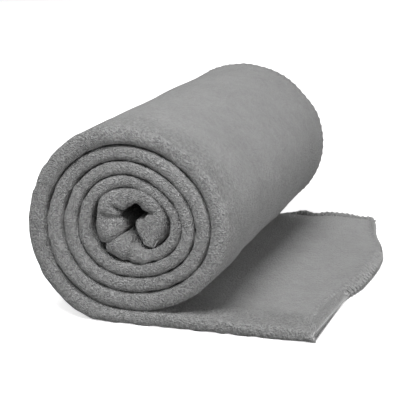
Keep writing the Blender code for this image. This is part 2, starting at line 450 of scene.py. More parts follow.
class FoldedSection:
    """The sheet's section: four plies joined by a tight near fold, a tight far fold and
    a near fold that wraps the others, with both selvedges at the far end."""

    SCALE = np.array([1.0, NOMINAL_PLY, NOMINAL_PITCH])
    WRAPPING_FOLD = 5
    SQUARENESS = 2.5

    def __init__(self, design: ThrowDesign) -> None:
        """Keeps the sizes.

        Args:
            design: Sizes of the throw.
        """
        self.design = design

    def _parts(self) -> list[tuple[str, dict]]:
        """The middle line's runs and arcs, from the inner selvedge to the outer one.

        Returns:
            The kind and the measures of each stretch, linear in the ply and the pitch.
        """
        d = self.design
        half = np.array([0.0, 0.5, 0.0])
        pitch = np.array([0.0, 0.0, 1.0])
        layers = [half + k * pitch for k in range(4)]
        selvedge = np.array([d.far - d.edge_inset, 0.0, 0.0])
        near_centre = np.array([d.near, 0.0, 0.0]) + half + 1.5 * pitch
        far_centre = np.array([d.far - d.far_fold_inset, 0.0, 0.0]) - half - 0.5 * pitch
        return [
            ("run", dict(start=selvedge, end=near_centre, height=layers[1])),
            ("arc", dict(centre=near_centre, height=0.5 * (layers[1] + layers[2]), radius=0.5, side=-1,
                         turn=1)),
            ("run", dict(start=near_centre, end=far_centre, height=layers[2])),
            ("arc", dict(centre=far_centre, height=0.5 * (layers[2] + layers[3]), radius=0.5, side=1,
                         turn=1)),
            ("run", dict(start=far_centre, end=near_centre, height=layers[3])),
            ("arc", dict(centre=near_centre, height=0.5 * (layers[0] + layers[3]), radius=1.5, side=-1,
                         turn=-1)),
            ("run", dict(start=near_centre, end=selvedge, height=layers[0])),
        ]

    def columns(self, spacing: Spacing) -> Columns:
        """Columns round the section's closed loop: one face from selvedge to selvedge,
        then the other face back.

        Args:
            spacing: How closely the columns stand.

        Returns:
            The columns.
        """
        shown = self._one_side(spacing, shown=True)
        hidden = self._one_side(spacing, shown=False)
        total = shown[3].max()
        return Columns(
            np.concatenate([shown[0], hidden[0][::-1]]),
            np.concatenate([shown[1], hidden[1][::-1]]),
            np.concatenate([shown[2], -hidden[2][::-1]]),
            np.concatenate([shown[3], hidden[3][::-1]]),
            np.concatenate([shown[3], 2.0 * total + LOOP_GAP - hidden[3][::-1]]),
            np.concatenate([np.ones(len(shown[3])), np.zeros(len(hidden[3]))]),
            int(np.argmin(shown[0] @ self.SCALE + 0.1 * np.abs(shown[2][:, 1]))),
        )

    def _one_side(self, spacing: Spacing, shown: bool) -> tuple[Array, Array, Array, Array]:
        """One face of the sheet from selvedge to selvedge: straight runs joined by half
        turns, the wrapping fold being a superellipse.

        Args:
            spacing: How closely the columns stand.
            shown: Whether this is the face that the folds turn outward.

        Returns:
            The columns' Y, heights, normals and distances across the sheet.
        """
        scale = self.SCALE
        ys, heights, normals, acrosses = [], [], [], []
        across = 0.0
        fold, hidden, edge = spacing.fold, spacing.hidden, spacing.selvedge
        run_shares = {
            0: (edge, hidden, hidden), 2: (hidden, hidden, hidden),
            4: (0.004, fold, spacing.innermost) if shown else (hidden, hidden, hidden),
            6: (fold, edge, spacing.outermost) if shown else (hidden, edge, hidden),
        }
        arc_steps = {1: 4 if shown else 2, 3: 6 if shown else 2, 5: round(0.0162 / fold) if shown else 6}
        for index, (kind, part) in enumerate(self._parts()):
            if kind == "run":
                length = abs(float((part["end"] - part["start"]) @ scale))
                first, last, coarse = run_shares[index]
                share = graded(length, first, last, coarse, spacing.keep)
                y = part["start"] + (part["end"] - part["start"]) * share[:, None]
                height = np.repeat(part["height"][None], len(share), axis=0)
                onward = np.sign(float((part["end"] - part["start"]) @ scale))
                normal = np.stack([np.zeros(len(share)), np.full(len(share), -onward)], axis=1)
            else:
                share = np.linspace(0.0, 1.0, arc_steps[index] + 1)
                length = math.pi * part["radius"] * NOMINAL_PITCH
                angle = part["turn"] * (share - 0.5) * math.pi
                radius = np.array([0.0, 0.0, part["radius"]])
                if index == self.WRAPPING_FOLD:
                    power = self.SQUARENESS
                    squared = (np.abs(np.cos(angle))**power + np.abs(np.sin(angle))**power)**(-1.0 / power)
                    radius = radius[None, :] * squared[:, None]
                y = part["centre"] + part["side"] * np.cos(angle)[:, None] * radius
                vertical = np.sin(angle)[:, None] * radius
                height = part["height"] + vertical
                outward = np.stack([part["side"] * np.cos(angle), np.sin(angle)], axis=1)
                towards = -1.0 if index == 1 else 1.0
                normal = outward * towards
            keep = slice(0, None) if index == 0 else slice(1, None)
            ys.append(y[keep])
            heights.append(height[keep])
            normals.append(normal[keep])
            acrosses.append((across + share * length)[keep])
            across += length
        return (np.concatenate(ys), np.concatenate(heights), np.concatenate(normals),
                np.concatenate(acrosses))


# ---- the sheet -----------------------------------------------------------------------
class Patch(NamedTuple):
    """A stretch of the sheet's surface, each array having one row for each station."""

    points: Array
    raw: Array          # distance to the nearest raw edge
    grain: Array        # distance across the surface from the middle of the wrapping fold


@dataclass(frozen=True)
class Zone:
    """A stretch of the strip meshed with one set of columns."""

    start: float
    end: float
    step: float
    spacing: Spacing


@dataclass(frozen=True)
class Softness:
    """Depth in metres of the cloth's small reliefs."""

    nap: float = 0.00042
    fold_nap: float = 0.00050
    wave: float = 0.0017
    pucker: float = 0.0010
    pinch: float = 0.50
    pinch_width: float = 0.0050
    telescoping: float = 0.0010
    edge_lift: float = 0.0002
    droop: float = 0.76
    stagger: float = 0.0008
    scallop: float = 0.0014
    ruffle: float = 0.0015
    curl: float = 0.0058
    tight_curl: float = 0.0014
    ragged_curl: float = 0.0010
    stitch_curl: float = 0.0007
    ragged_lean: float = 0.0014
    lean: float = 0.0030


STITCH_PITCH = 0.0058


class FleeceSheet:
    """One sheet of brushed fleece: a closed surface over its four plies and three folds."""

    def __init__(self, winding: Winding, section: FoldedSection, softness: Softness) -> None:
        """Keeps what shapes the sheet.

        Args:
            winding: Route of the folded strip.
            section: The folded section.
            softness: Depths of the nap, waves and puckers.
        """
        self.winding = winding
        self.section = section
        self.softness = softness
        self.design = winding.design
        self.noise = SmoothNoise(11)
        self.slow_noise = SmoothNoise(23)
        w = winding
        hinge = self.design.hinge_x
        self.zones = (
            Zone(w.start, -0.004, 0.00135, Spacing(innermost=0.0013, outermost=0.02, selvedge=0.0020)),
            Zone(-0.0025, hinge, 0.0015, Spacing(outermost=0.03, innermost=0.03)),
            Zone(hinge + 0.0015, w.first_turn_end, 0.0020, Spacing(outermost=0.0064, selvedge=0.0020)),
            Zone(w.first_turn_end + 0.0014, w.end, 0.00160, Spacing(outermost=0.09, keep=0.0030)),
        )

    def sheet_across(self) -> float:
        """Width of the unfolded sheet along its middle line."""
        return float(self.section.columns(Spacing()).across.max())

    def place(self, distance: Array, columns: Columns) -> Patch:
        """The surface: the folded section carried along the winding, pinched at its raw
        edges, with the nap and soft waves raised along its normal.

        Args:
            distance: Distances along the strip.
            columns: Columns of the section.

        Returns:
            The stretch of surface, with shape (rows, columns).
        """
        w, d, soft = self.winding, self.design, self.softness
        path = w.at(distance)
        ply = (path.stack - 3.0 * d.ply_gap) / 4.0
        pitch = ply + d.ply_gap
        scale = np.stack([np.ones_like(ply), ply, pitch], axis=1)
        total = self.sheet_across()
        to_selvedge = np.minimum(columns.across, total - columns.across)[None, :]
        to_end = np.minimum(distance - w.start, w.end - distance)[:, None]
        raw = np.minimum(to_selvedge, to_end)
        thin = 1.0 - soft.pinch * np.exp(-((raw / soft.pinch_width) ** 2))
        half = 0.5 * ply[:, None] * thin
        y = scale @ columns.y.T + half * columns.normal[None, :, 0]
        height = scale @ columns.height.T + half * columns.normal[None, :, 1]
        x_z = path.outer[:, None, :] + height[..., None] * path.inward[:, None, :]
        points = np.stack([x_z[..., 0], y, x_z[..., 1]], axis=-1)
        normal = np.stack([
            columns.normal[None, :, 1] * path.inward[:, None, 0],
            np.repeat(columns.normal[None, :, 0], len(distance), axis=0),
            columns.normal[None, :, 1] * path.inward[:, None, 1],
        ], axis=-1)
        points = points + normal * self._relief(points, distance, columns, raw)[..., None]
        steps = np.hypot(np.diff(y, axis=1), np.diff(height, axis=1))
        grain = np.concatenate([np.zeros((len(distance), 1)), np.cumsum(steps, axis=1)], axis=1)
        grain -= grain[:, columns.middle:columns.middle + 1]
        return Patch(self._settle(points, distance, columns), raw, grain)

    def _relief(self, points: Array, distance: Array, columns: Columns, raw: Array) -> Array:
        """Height of the nap, the soft waves, the puckers and the core's creases.

        Args:
            points: Places on the surface before its relief.
            distance: Distances along the strip.
            columns: Columns of the section.
            raw: Distance to the nearest raw edge.

        Returns:
            Height along the normal, in metres.
        """
        soft, w = self.softness, self.winding
        shown = columns.visible_side[None, :]
        near_fold = self._near_fold(points)
        last_wrap = (distance < w.first_turn_end)[:, None]
        face = np.where(last_wrap, 1.0, near_fold) * shown
        face = face * np.where((distance < 0.0)[:, None], 0.30 + 0.70 * near_fold, near_fold)
        clumps = self.noise(points, 0.0062) + 0.6 * self.noise(points + 0.5, 0.0039)
        waves = self.slow_noise(points, 0.052) + 0.4 * self.slow_noise(points + 0.2, 0.024)
        nap = soft.nap + (soft.fold_nap - soft.nap) * near_fold
        slack = 0.25 + 0.75 * smooth_step(points[..., 1] - self.design.near, 0.010, 0.090)
        relief = nap * face * clumps + soft.wave * slack * np.where(last_wrap, 1.0, 0.0) * shown * waves
        ridge = self._stitch_wave(distance, columns)
        fade = np.exp(-((raw / 0.0080) ** 2)) * smooth_step(raw, -0.001, 0.002)
        relief = relief + soft.pucker * shown * fade * (ridge - 0.35)
        share = (scale_height(columns) - 1.0)[None, :]
        for crease, at in zip(CORE_CREASES, w.crease_at):
            across = np.exp(-(((distance - at) / crease.width) ** 2))[:, None]
            inside = smooth_step(share, -crease.reach - 0.12, -crease.reach + 0.05)
            relief = relief - crease.depth * across * inside * shown
        return relief

    def _near_fold(self, points: Array) -> Array:
        """1 on the near fold, falling to 0 a little way along the faces behind it."""
        return 1.0 - smooth_step(points[..., 1] - self.design.near, 0.007, 0.017)

    def _stitch_wave(self, distance: Array, columns: Columns) -> Array:
        """A cosine along the nearest raw edge: 0 under each stitch, 1 half way between two.

        Args:
            distance: Distances along the strip.
            columns: Columns of the section.

        Returns:
            The wave, from 0 to 1.
        """
        total = self.sheet_across()
        at_selvedge = np.minimum(columns.across, total - columns.across)[None, :]
        at_end = np.minimum(distance - self.winding.start, self.winding.end - distance)[:, None]
        along = np.where(at_selvedge < at_end, distance[:, None] - self.winding.start,
                         columns.across[None, :] - 0.5 * STITCH_PITCH)
        return 0.5 - 0.5 * np.cos(2.0 * math.pi * along / STITCH_PITCH)

    def _settle(self, points: Array, distance: Array, columns: Columns) -> Array:
        """Bows the loose end's free edge, presses that edge down with its plies stepped and
        ruffled by the stitches, curls the selvedges up, and sways the turns along Y.

        Args:
            points: Places on the surface, which are moved.
            distance: Distances along the strip.
            columns: Columns of the section.

        Returns:
            The moved points.
        """
        w, d, soft = self.winding, self.design, self.softness
        out = np.clip(-distance, 0.0, None)[:, None]
        y = points[..., 1].copy()
        share = out / w.tail_length
        layer = np.clip(scale_height(columns), 0.0, 1.0)[None, :]
        ending = smooth_step(share, 0.925, 1.0)
        points[..., 0] += out * (w.reach(y) / w.tail_length - 1.0)
        points[..., 0] -= soft.stagger * ending * layer
        corner = 0.30 + 0.70 * smooth_step(y - d.near, 0.0, 0.032)
        points[..., 2] *= 1.0 - soft.droop * corner * ending
        to_free = (distance - w.start)[:, None]
        wave = self._stitch_wave(distance, columns)
        uneven = np.clip(0.55 + 1.1 * self.slow_noise(points * np.array([0.4, 1.0, 0.2]), 0.019), 0.0, 1.3)
        points[..., 0] += uneven * soft.scallop * (wave - 0.5) * np.exp(-((to_free / 0.003) ** 2))
        ruffled = np.exp(-((to_free / 0.0085) ** 2)) * (layer > 0.5)
        points[..., 2] += uneven * soft.ruffle * (wave - 0.3) * ruffled
        lift = 0.55 + 0.45 * np.cos(2.0 * math.pi * (y / d.folded_width) * 1.7 + 0.6)
        points[..., 2] += soft.edge_lift * share**3 * lift

        selvedge = smooth_step(y, d.far - 0.011, d.far) * (layer < 0.5)
        flat = smooth_step(distance, 0.046, 0.006)[:, None]
        rolled = smooth_step(distance, 0.12, 0.20)[:, None] * (distance < w.first_turn_end)[:, None]
        ragged = self.slow_noise(points * np.array([1.0, 0.1, 0.1]), 0.011)
        path = w.at(distance)
        curl = soft.curl + soft.tight_curl * smooth_step(share, 0.85, 0.45)
        curl = curl + soft.ragged_curl * ragged + soft.stitch_curl * uneven * (wave - 0.5)
        points[..., 2] += flat * selvedge * curl
        points[..., 1] += flat * selvedge * (soft.lean + soft.ragged_lean * ragged)
        flare = -rolled * selvedge * (0.0006 + 0.0010 * ragged + 0.0005 * (wave - 0.5))
        points[..., 0] += flare * path.inward[:, None, 0]
        points[..., 2] += flare * path.inward[:, None, 1]
        points[..., 1] += rolled * selvedge * (0.0010 * ragged + 0.0005 * (wave - 0.5))

        wound = smooth_step(distance, 0.08, 0.20)[:, None]
        sway = np.sin(distance * 23.0) + 0.7 * np.sin(distance * 41.0 + 1.0)
        points[..., 1] += soft.telescoping * wound * sway[:, None]
        points[..., 2] = np.maximum(points[..., 2], 0.0)
        return points

    def build(self) -> bpy.types.Object:
        """Makes the sheet's mesh object.

        Returns:
            The sheet, at the origin.
        """
        rows, faces, cloth, edges, naps_and_painted_light, painted_valley_shades = [], [], [], [], [], []
        offset = 0
        previous: tuple[int, Array] | None = None
        total_loop = None
        for zone in self.zones:
            columns = self.section.columns(zone.spacing)
            count = max(2, int(round((zone.end - zone.start) / zone.step)) + 1)
            distance = np.linspace(zone.start, zone.end, count)
            patch = self.place(distance, columns)
            width = len(columns.loop)
            rows.append(patch.points.reshape(-1, 3))
            grain = np.stack(np.broadcast_arrays(
                patch.grain, distance[:, None], 0.05 * columns.visible_side[None, :]), axis=-1)
            cloth.append(grain.reshape(-1, 3))
            edges.append(patch.raw.reshape(-1))
            naps_and_painted_light.append(self._nap_and_painted_light(patch.points, patch.raw).reshape(-1))
            # Painted shade: a darker valley under each stitch near the raw edges, which the finish darkens.
            uneven = np.clip(0.55 + 1.1 * self.slow_noise(patch.points, 0.019), 0.1, 1.2)
            painted_valley_shade = uneven * (1.0 - self._stitch_wave(distance, columns))
            painted_valley_shade = painted_valley_shade * np.exp(-((patch.raw / 0.0058) ** 2)) * smooth_step(patch.raw, -0.001, 0.002)
            painted_valley_shades.append(painted_valley_shade.reshape(-1))
            faces.append(grid_triangles(offset, count, width))
            if previous is not None:
                faces.append(zipper(previous[0], previous[1], offset, columns.loop))
            if total_loop is None:
                faces.append(self._cap(offset, columns)[:, ::-1])
            previous = (offset + (count - 1) * width, columns.loop)
            total_loop = columns
            offset += count * width
        faces.append(self._cap(previous[0], total_loop))
        return self._to_object(np.vstack(rows), np.vstack(faces)[:, ::-1], np.vstack(cloth),
                               {"raw_edge": np.concatenate(edges), "nap": np.concatenate(naps_and_painted_light),
                                "painted_valley_shade": np.concatenate(painted_valley_shades)})

    def _nap_and_painted_light(self, points: Array, raw: Array) -> Array:
        """How rough the nap stands: full at the near folds, half along the raw edges, and less where it was
        stroked flat.
        It is raised more on the roll's sides at mid height than on top, and the finish paints the colour
        lighter where it is raised, which is painted light.

        Args:
            points: Places on the surface.
            raw: Distance to the nearest raw edge.

        Returns:
            Roughness from 0 to 1.
        """
        behind = points[..., 1] - self.design.near
        ragged = 0.012 * self.slow_noise(points, 0.019)
        height = points[..., 2]
        # Painted light: the nap is raised most 45 to 70 mm up the roll's sides and less on top, so the
        # finish paints those sides lighter.
        side = smooth_step(height, 0.020, 0.045) * (0.15 + 0.13 * smooth_step(height, 0.125, 0.070))
        stroked = 1.0 - (0.80 - side) * smooth_step(behind + ragged, 0.004, 0.056)
        return np.maximum(stroked, 0.55 * np.exp(-((raw / 0.009) ** 2)))

    def _cap(self, offset: int, columns: Columns) -> Array:
        """Triangles that close the strip's end between its two faces."""
        shown = np.flatnonzero(columns.visible_side == 1)
        hidden = np.flatnonzero(columns.visible_side == 0)[::-1]
        return strip_between(offset + shown, columns.across[shown], offset + hidden,
                             columns.across[hidden])

    def _to_object(self, points: Array, triangles: Array, cloth: Array,
                   tones: dict[str, Array]) -> bpy.types.Object:
        """The sheet as an object, with what its finish reads.

        Args:
            points: Vertex positions.
            triangles: Vertex numbers.
            cloth: Place on the cloth, for the grain.
            tones: A value for each vertex under each attribute's name.

        Returns:
            The object.
        """
        mesh = mesh_from_arrays("fleece_sheet", points, triangles)
        grain = mesh.attributes.new("cloth", "FLOAT_VECTOR", "POINT")
        grain.data.foreach_set("vector", cloth.astype(np.float32).ravel())
        for name, values in tones.items():
            tone = mesh.attributes.new(name, "FLOAT", "POINT")
            tone.data.foreach_set("value", values.astype(np.float32))
        sheet = bpy.data.objects.new("fleece_sheet", mesh)
        bpy.context.scene.collection.objects.link(sheet)
        LOG.info("fleece_sheet: %d vertices, %d triangles", len(points), len(triangles))
        return sheet


def scale_height(columns: Columns) -> Array:
    """Height of the columns as a share of the strip's thickness."""
    stack = NOMINAL_PLY + 3.0 * NOMINAL_PITCH
    return columns.height @ np.array([0.0, NOMINAL_PLY, NOMINAL_PITCH]) / stack


def grid_triangles(offset: int, rows: int, width: int) -> Array:
    """Triangles of a grid whose columns close on themselves.

    Args:
        offset: Number of the grid's first vertex.
        rows: Rows of the grid.
        width: Vertices in a row.

    Returns:
        Vertex numbers of the triangles.
    """
    row, column = np.meshgrid(np.arange(rows - 1), np.arange(width), indexing="ij")
    beside = (column + 1) % width
    a = offset + row * width + column
    b = offset + row * width + beside
    c = a + width
    e = b + width
    return np.concatenate([np.stack([a, b, e], axis=-1).reshape(-1, 3),
                           np.stack([a, e, c], axis=-1).reshape(-1, 3)])


def zipper(first: int, first_loop: Array, second: int, second_loop: Array) -> Array:
    """Triangles between two closed rows whose columns stand at different places.

    Args:
        first: Number of the first vertex of one row.
        first_loop: Where its columns stand round the loop.
        second: Number of the first vertex of the other.
        second_loop: Where those stand.

    Returns:
        Vertex numbers of the triangles.
    """
    top = np.concatenate([np.arange(len(first_loop)), [0]]) + first
    bottom = np.concatenate([np.arange(len(second_loop)), [0]]) + second
    end = max(first_loop[-1], second_loop[-1]) + LOOP_GAP
    return strip_between(top, np.append(first_loop, end), bottom, np.append(second_loop, end))


def strip_between(top: Array, top_at: Array, bottom: Array, bottom_at: Array) -> Array:
    """Triangles between two polylines, taking the edges of both in order of their middles.

    Args:
        top: Vertex numbers of one polyline.
        top_at: Where its vertices stand along it.
        bottom: Vertex numbers of the other.
        bottom_at: Where those stand.

    Returns:
        Vertex numbers of the triangles.
    """
    top_middle = 0.5 * (top_at[1:] + top_at[:-1])
    bottom_middle = 0.5 * (bottom_at[1:] + bottom_at[:-1])
    below = np.searchsorted(bottom_middle, top_middle, side="left")
    above = np.searchsorted(top_middle, bottom_middle, side="right")
    first = np.stack([top[:-1], top[1:], bottom[below]], axis=1)
    second = np.stack([bottom[1:], bottom[:-1], top[above]], axis=1)
    return np.concatenate([first, second])


def mesh_from_arrays(name: str, points: Array, polygons: Array) -> bpy.types.Mesh:
    """A smooth-shaded mesh from arrays.

    Args:
        name: Name of the mesh.
        points: Vertex positions.
        polygons: Vertex numbers, all faces having the same number of corners.

    Returns:
        The mesh.
    """
    mesh = bpy.data.meshes.new(name)
    corners = polygons.shape[1]
    mesh.vertices.add(len(points))
    mesh.vertices.foreach_set("co", points.astype(np.float32).ravel())
    mesh.loops.add(polygons.size)
    mesh.loops.foreach_set("vertex_index", polygons.astype(np.int32).ravel())
    mesh.polygons.add(len(polygons))
    mesh.polygons.foreach_set("loop_start", np.arange(0, polygons.size, corners, dtype=np.int32))
    mesh.polygons.foreach_set("use_smooth", np.ones(len(polygons), bool))
    mesh.update(calc_edges=True)
    mesh.validate()
    return mesh


# ---- overlocked thread ---------------------------------------------------------------
class RawEdge(Enum):
    """The sheet's four raw edges."""

    FREE_END = "free_end_stitches"
    CORE_END = "core_end_stitches"
    OUTER_SELVEDGE = "outer_selvedge_stitches"
    INNER_SELVEDGE = "inner_selvedge_stitches"


class EdgeFrames(NamedTuple):
    """Where stitches sit on a raw edge: points, unit vectors and half the pinched cloth."""

    point: Array
    outward: Array
    normal: Array
    along: Array
    half: Array


@dataclass(frozen=True)
class StitchShape:
    """Sizes of one overlock stitch, in metres."""

    depth: float = 0.0072
    thread: float = 0.00036
    slant: float = 0.0007
    overhang: float = 0.0005


class EdgeStitching:
    """Loops of thread that wrap a raw edge, one every few millimetres."""

    RING = 4

    def __init__(self, sheet: FleeceSheet, shape: StitchShape) -> None:
        """Keeps what the stitches follow.

        Args:
            sheet: The sheet whose edges they bind.
            shape: Sizes of a stitch.
        """
        self.sheet = sheet
        self.shape = shape

    def frames(self, edge: RawEdge) -> EdgeFrames:
        """Evenly spaced frames along a raw edge, read off the sheet's own surface.

        Args:
            edge: Which raw edge.

        Returns:
            The frames.
        """
        w = self.sheet.winding
        section = self.sheet.section
        if edge in (RawEdge.FREE_END, RawEdge.CORE_END):
            columns = section.columns(Spacing(fold=0.0008, outermost=STITCH_PITCH, innermost=STITCH_PITCH,
                                              hidden=STITCH_PITCH, selvedge=STITCH_PITCH))
            at_start = edge is RawEdge.FREE_END
            rim = w.start if at_start else w.end
            inside = rim + (0.0012 if at_start else -0.0012)
            places = self.sheet.place(np.array([rim, inside]), columns).points
            shown = columns.visible_side == 1
            hidden = ~shown
            wanted = np.arange(1.5 * STITCH_PITCH, self.sheet.sheet_across() - STITCH_PITCH, STITCH_PITCH)
            face = resample(columns.across[shown], places[:, shown], wanted)
            back = resample(columns.across[hidden][::-1], places[:, hidden][:, ::-1], wanted)
            rim_point, inner_point = 0.5 * (face + back)
            normal = face[0] - back[0]
            outward = rim_point - inner_point
        else:
            wanted = np.arange(w.start + STITCH_PITCH, w.end - STITCH_PITCH, STITCH_PITCH)
            columns = section.columns(Spacing(selvedge=0.0012))
            places = self.sheet.place(wanted, columns).points
            shown = np.flatnonzero(columns.visible_side == 1)
            hidden = np.flatnonzero(columns.visible_side == 0)
            first = edge is RawEdge.INNER_SELVEDGE
            rim_shown, in_shown = (shown[0], shown[1]) if first else (shown[-1], shown[-2])
            rim_hidden = hidden[-1] if first else hidden[0]
            rim_point = 0.5 * (places[:, rim_shown] + places[:, rim_hidden])
            normal = places[:, rim_shown] - places[:, rim_hidden]
            outward = places[:, rim_shown] - places[:, in_shown]
        half = 0.5 * np.linalg.norm(normal, axis=1)
        normal = unit(normal)
        outward = unit(outward - (outward * normal).sum(axis=1, keepdims=True) * normal)
        return EdgeFrames(rim_point, outward, normal, np.cross(normal, outward), half)

    def build(self, edge: RawEdge) -> bpy.types.Object:
        """Makes the stitches of one raw edge: a thin tube along a loop round the edge,
        repeated at every frame.

        Args:
            edge: Which raw edge.

        Returns:
            The stitches as one object at the origin.
        """
        frames = self.frames(edge)
        s = self.shape
        inward = np.array([s.depth, 0.92 * s.depth, 0.5 * s.depth, 0.0006, -s.overhang,
                           0.0006, 0.5 * s.depth, 0.92 * s.depth, s.depth])
        side = np.array([0.2, 1.0, 1.0, 0.95, 0.0, -0.95, -1.0, -1.0, -0.2])
        lean = np.array([-1.0, -0.9, -0.5, 0.0, 0.0, 0.0, 0.5, 0.9, 1.0]) * s.slant
        swell = 1.0 + 0.55 * np.clip(inward / s.depth, 0.0, 1.0)
        reach = frames.half[:, None] * side * swell + np.sign(side) * s.thread * 0.6
        path = (frames.point[:, None] - frames.outward[:, None] * inward[None, :, None]
                + frames.normal[:, None] * reach[..., None]
                + frames.along[:, None] * lean[None, :, None])
        path[..., 2] = np.maximum(path[..., 2], s.thread)
        points, quads = tubes(path, frames.along, s.thread, self.RING)
        mesh = mesh_from_arrays(edge.value, points, quads)
        stitches = bpy.data.objects.new(edge.value, mesh)
        bpy.context.scene.collection.objects.link(stitches)
        LOG.info("%s: %d stitches, %d faces", edge.value, len(path), len(quads))
        return stitches


def unit(vectors: Array) -> Array:
    """The vectors scaled to length 1."""
    return vectors / np.linalg.norm(vectors, axis=-1, keepdims=True)


def resample(at: Array, rows: Array, wanted: Array) -> Array:
    """Rows of points interpolated at other places along them."""
    return np.stack([
        np.stack([np.interp(wanted, at, row[:, axis]) for axis in range(3)], axis=1) for row in rows
    ])


def tubes(paths: Array, side: Array, radius: float, ring: int) -> tuple[Array, Array]:
    """Closed tubes of one radius along many short paths, tapering shut at both ends.

    Args:
        paths: Shape (tubes, points, 3).
        side: For each tube, a direction square to the plane its path mostly runs in.
        radius: Radius of the thread.
        ring: Corners round a tube, which is four for the caps to close it.

    Returns:
        Vertices and quads.
    """
    count, steps, _ = paths.shape
    ahead = unit(np.gradient(paths, axis=1))
    across = unit(side[:, None] - (side[:, None] * ahead).sum(axis=2, keepdims=True) * ahead)
    up = np.cross(ahead, across)
    angle = 2.0 * math.pi * np.arange(ring) / ring
    taper = np.full(steps, radius)
    taper[[0, -1]] = 0.25 * radius
    circle = (across[:, :, None] * np.cos(angle)[:, None] + up[:, :, None] * np.sin(angle)[:, None])
    points = paths[:, :, None] + circle * taper[None, :, None, None]
    tube, step, corner = np.meshgrid(np.arange(count), np.arange(steps - 1), np.arange(ring), indexing="ij")
    base = tube * steps * ring
    a = base + step * ring + corner
    b = base + step * ring + (corner + 1) % ring
    walls = np.stack([a, b, b + ring, a + ring], axis=-1).reshape(-1, 4)
    starts = np.arange(count)[:, None] * steps * ring + np.arange(ring)
    ends = starts + (steps - 1) * ring
    return points.reshape(-1, 3), np.concatenate([walls, starts[:, ::-1], ends])


# ---- finishes ------------------------------------------------------------------------
@dataclass(frozen=True)
class FleeceFinish:
    """Look of the brushed fleece."""

    colour: float = 0.275
    roughness: float = 0.95
    sheen: float = 0.25
    clump_size: float = 0.0022
    fibre_size: float = 0.0011
    flat_relief: float = 0.0006
    rough_relief: float = 0.0028


@dataclass(frozen=True)
class ThreadFinish:
    """Look of the overlock thread."""

    colour: float = 0.42
    roughness: float = 0.75
    twist: float = 0.0006


class NodeSketch:
    """Adds nodes to a material and joins them."""

    def __init__(self, name: str) -> None:
        """Starts an empty material.

        Args:
            name: Name of the material.
        """
        self.material = bpy.data.materials.new(name)
        self.material.use_nodes = True
        self.tree = self.material.node_tree
        self.shader = self.tree.nodes["Principled BSDF"]

    def node(self, kind: str, inputs: dict | None = None, **settings: object) -> bpy.types.Node:
        """Adds a node.

        Args:
            kind: Its type.
            inputs: A value or another node's output for each input.
            **settings: Values for its properties.

        Returns:
            The node.
        """
        made = self.tree.nodes.new(kind)
        for key, value in settings.items():
            setattr(made, key, value)
        for key, value in (inputs or {}).items():
            if isinstance(value, bpy.types.NodeSocket):
                self.tree.links.new(value, made.inputs[key])
            else:
                made.inputs[key].default_value = value
        return made

    def math(self, operation: str, first: object, second: object = 0.0) -> bpy.types.NodeSocket:
        """The output of a math node."""
        return self.node("ShaderNodeMath", {0: first, 1: second}, operation=operation).outputs[0]

    def ramp(self, factor: object, low: float, high: float, dark: float, light: float) -> object:
        """A factor stretched from low..high to dark..light, with smooth ends."""
        return self.node("ShaderNodeMapRange", {
            "Value": factor, "From Min": low, "From Max": high, "To Min": dark, "To Max": light,
        }, interpolation_type="SMOOTHSTEP").outputs["Result"]

    def link(self, output: object, socket: str) -> None:
        """Joins an output to the shader."""
        self.tree.links.new(output, self.shader.inputs[socket])


